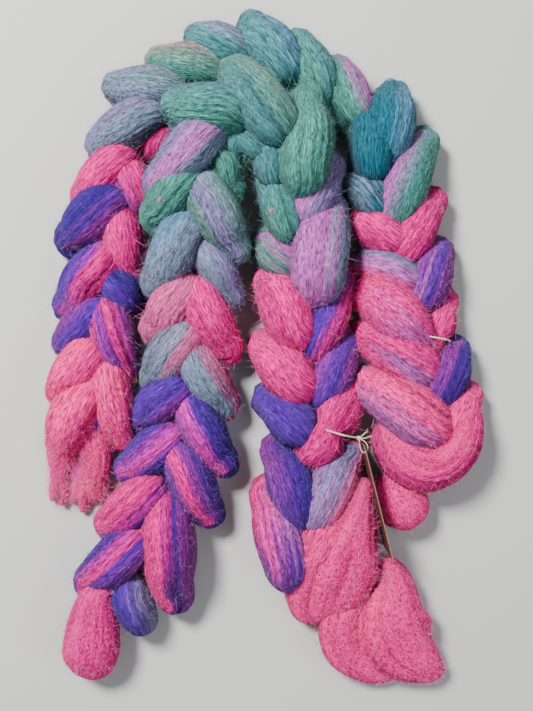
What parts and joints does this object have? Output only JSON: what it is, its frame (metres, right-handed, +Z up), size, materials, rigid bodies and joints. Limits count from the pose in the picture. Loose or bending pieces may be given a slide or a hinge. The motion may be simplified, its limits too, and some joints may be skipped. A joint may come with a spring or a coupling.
{
  "type": "combed wool top in chain braids",
  "caption": "Two hand-dyed chain braids of combed wool top, one arch laid inside the other, with a tie string round each and a blank hang tag.",
  "frame": {"origin": "on the table, under the centre of the pair's bounding box", "axes": "+Z up from the table; +Y from the four loose ends to the top of the arches; +X to the right seen from above"},
  "size_m": [0.3423, 0.5303, 0.0757],
  "materials": {
    "wool_rose": "soft combed wool, matt with a faint silky sheen along the fibres",
    "wool_violet": "soft combed wool, matt with a faint silky sheen along the fibres",
    "wool_plum": "soft combed wool, matt with a faint silky sheen along the fibres",
    "wool_teal": "soft combed wool, matt with a faint silky sheen along the fibres",
    "wool_slate": "soft combed wool, matt with a faint silky sheen along the fibres",
    "undyed_string": "thin plied undyed string, matt",
    "kraft_card": null
  },
  "bodies": {
    "outer_braid": {"outer_finish_tail": "wool_rose", "outer_start_tail": "wool_rose", "outer_start_wrap": "wool_rose", "outer_stitch_01": "wool_rose", "outer_stitch_02": "wool_rose", "outer_stitch_03": "wool_rose", "outer_stitch_04": "wool_rose", "outer_stitch_05": "wool_rose", "outer_stitch_06": "wool_teal", "outer_stitch_07": "wool_teal", "outer_stitch_08": "wool_teal", "outer_stitch_09": "wool_teal", "outer_stitch_10": "wool_teal", "outer_stitch_11": "wool_teal", "outer_stitch_12": "wool_teal", "outer_stitch_13": "wool_slate", "outer_stitch_14": "wool_slate", "outer_stitch_15": "wool_rose", "outer_stitch_16": "wool_violet", "outer_stitch_17": "wool_violet", "outer_stitch_18": "wool_violet", "outer_stitch_19": "wool_rose", "outer_stitch_20": "wool_rose", "outer_tie": "undyed_string"},
    "inner_braid": {"inner_finish_loop": "wool_rose", "inner_start_fan": "wool_rose", "inner_start_tail": "wool_rose", "inner_stitch_01": "wool_violet", "inner_stitch_02": "wool_violet", "inner_stitch_03": "wool_rose", "inner_stitch_04": "wool_rose", "inner_stitch_05": "wool_violet", "inner_stitch_06": "wool_plum", "inner_stitch_07": "wool_plum", "inner_stitch_08": "wool_teal", "inner_stitch_09": "wool_teal", "inner_stitch_10": "wool_teal", "inner_stitch_11": "wool_plum", "inner_stitch_12": "wool_teal", "inner_stitch_13": "wool_slate", "inner_stitch_14": "wool_rose", "inner_stitch_15": "wool_slate", "inner_stitch_16": "wool_violet", "inner_stitch_17": "wool_violet", "inner_stitch_18": "wool_rose", "inner_stitch_19": "wool_violet", "inner_tie": "undyed_string"},
    "hang_tag": {"hang_tag": "kraft_card"}
  },
  "joints": [
    {"name": "inner_braid_lift", "type": "slide", "parent": "outer_braid", "child": "inner_braid", "axis": [0, 0, 1], "range_m": [0, 0.2]},
    {"name": "tag_swing", "type": "hinge", "parent": "inner_braid", "child": "hang_tag", "pos_m": [0.079, -0.079, 0.046], "axis": [-0.9703, -0.2419, 0], "range_deg": [0, 75]}
  ]
}
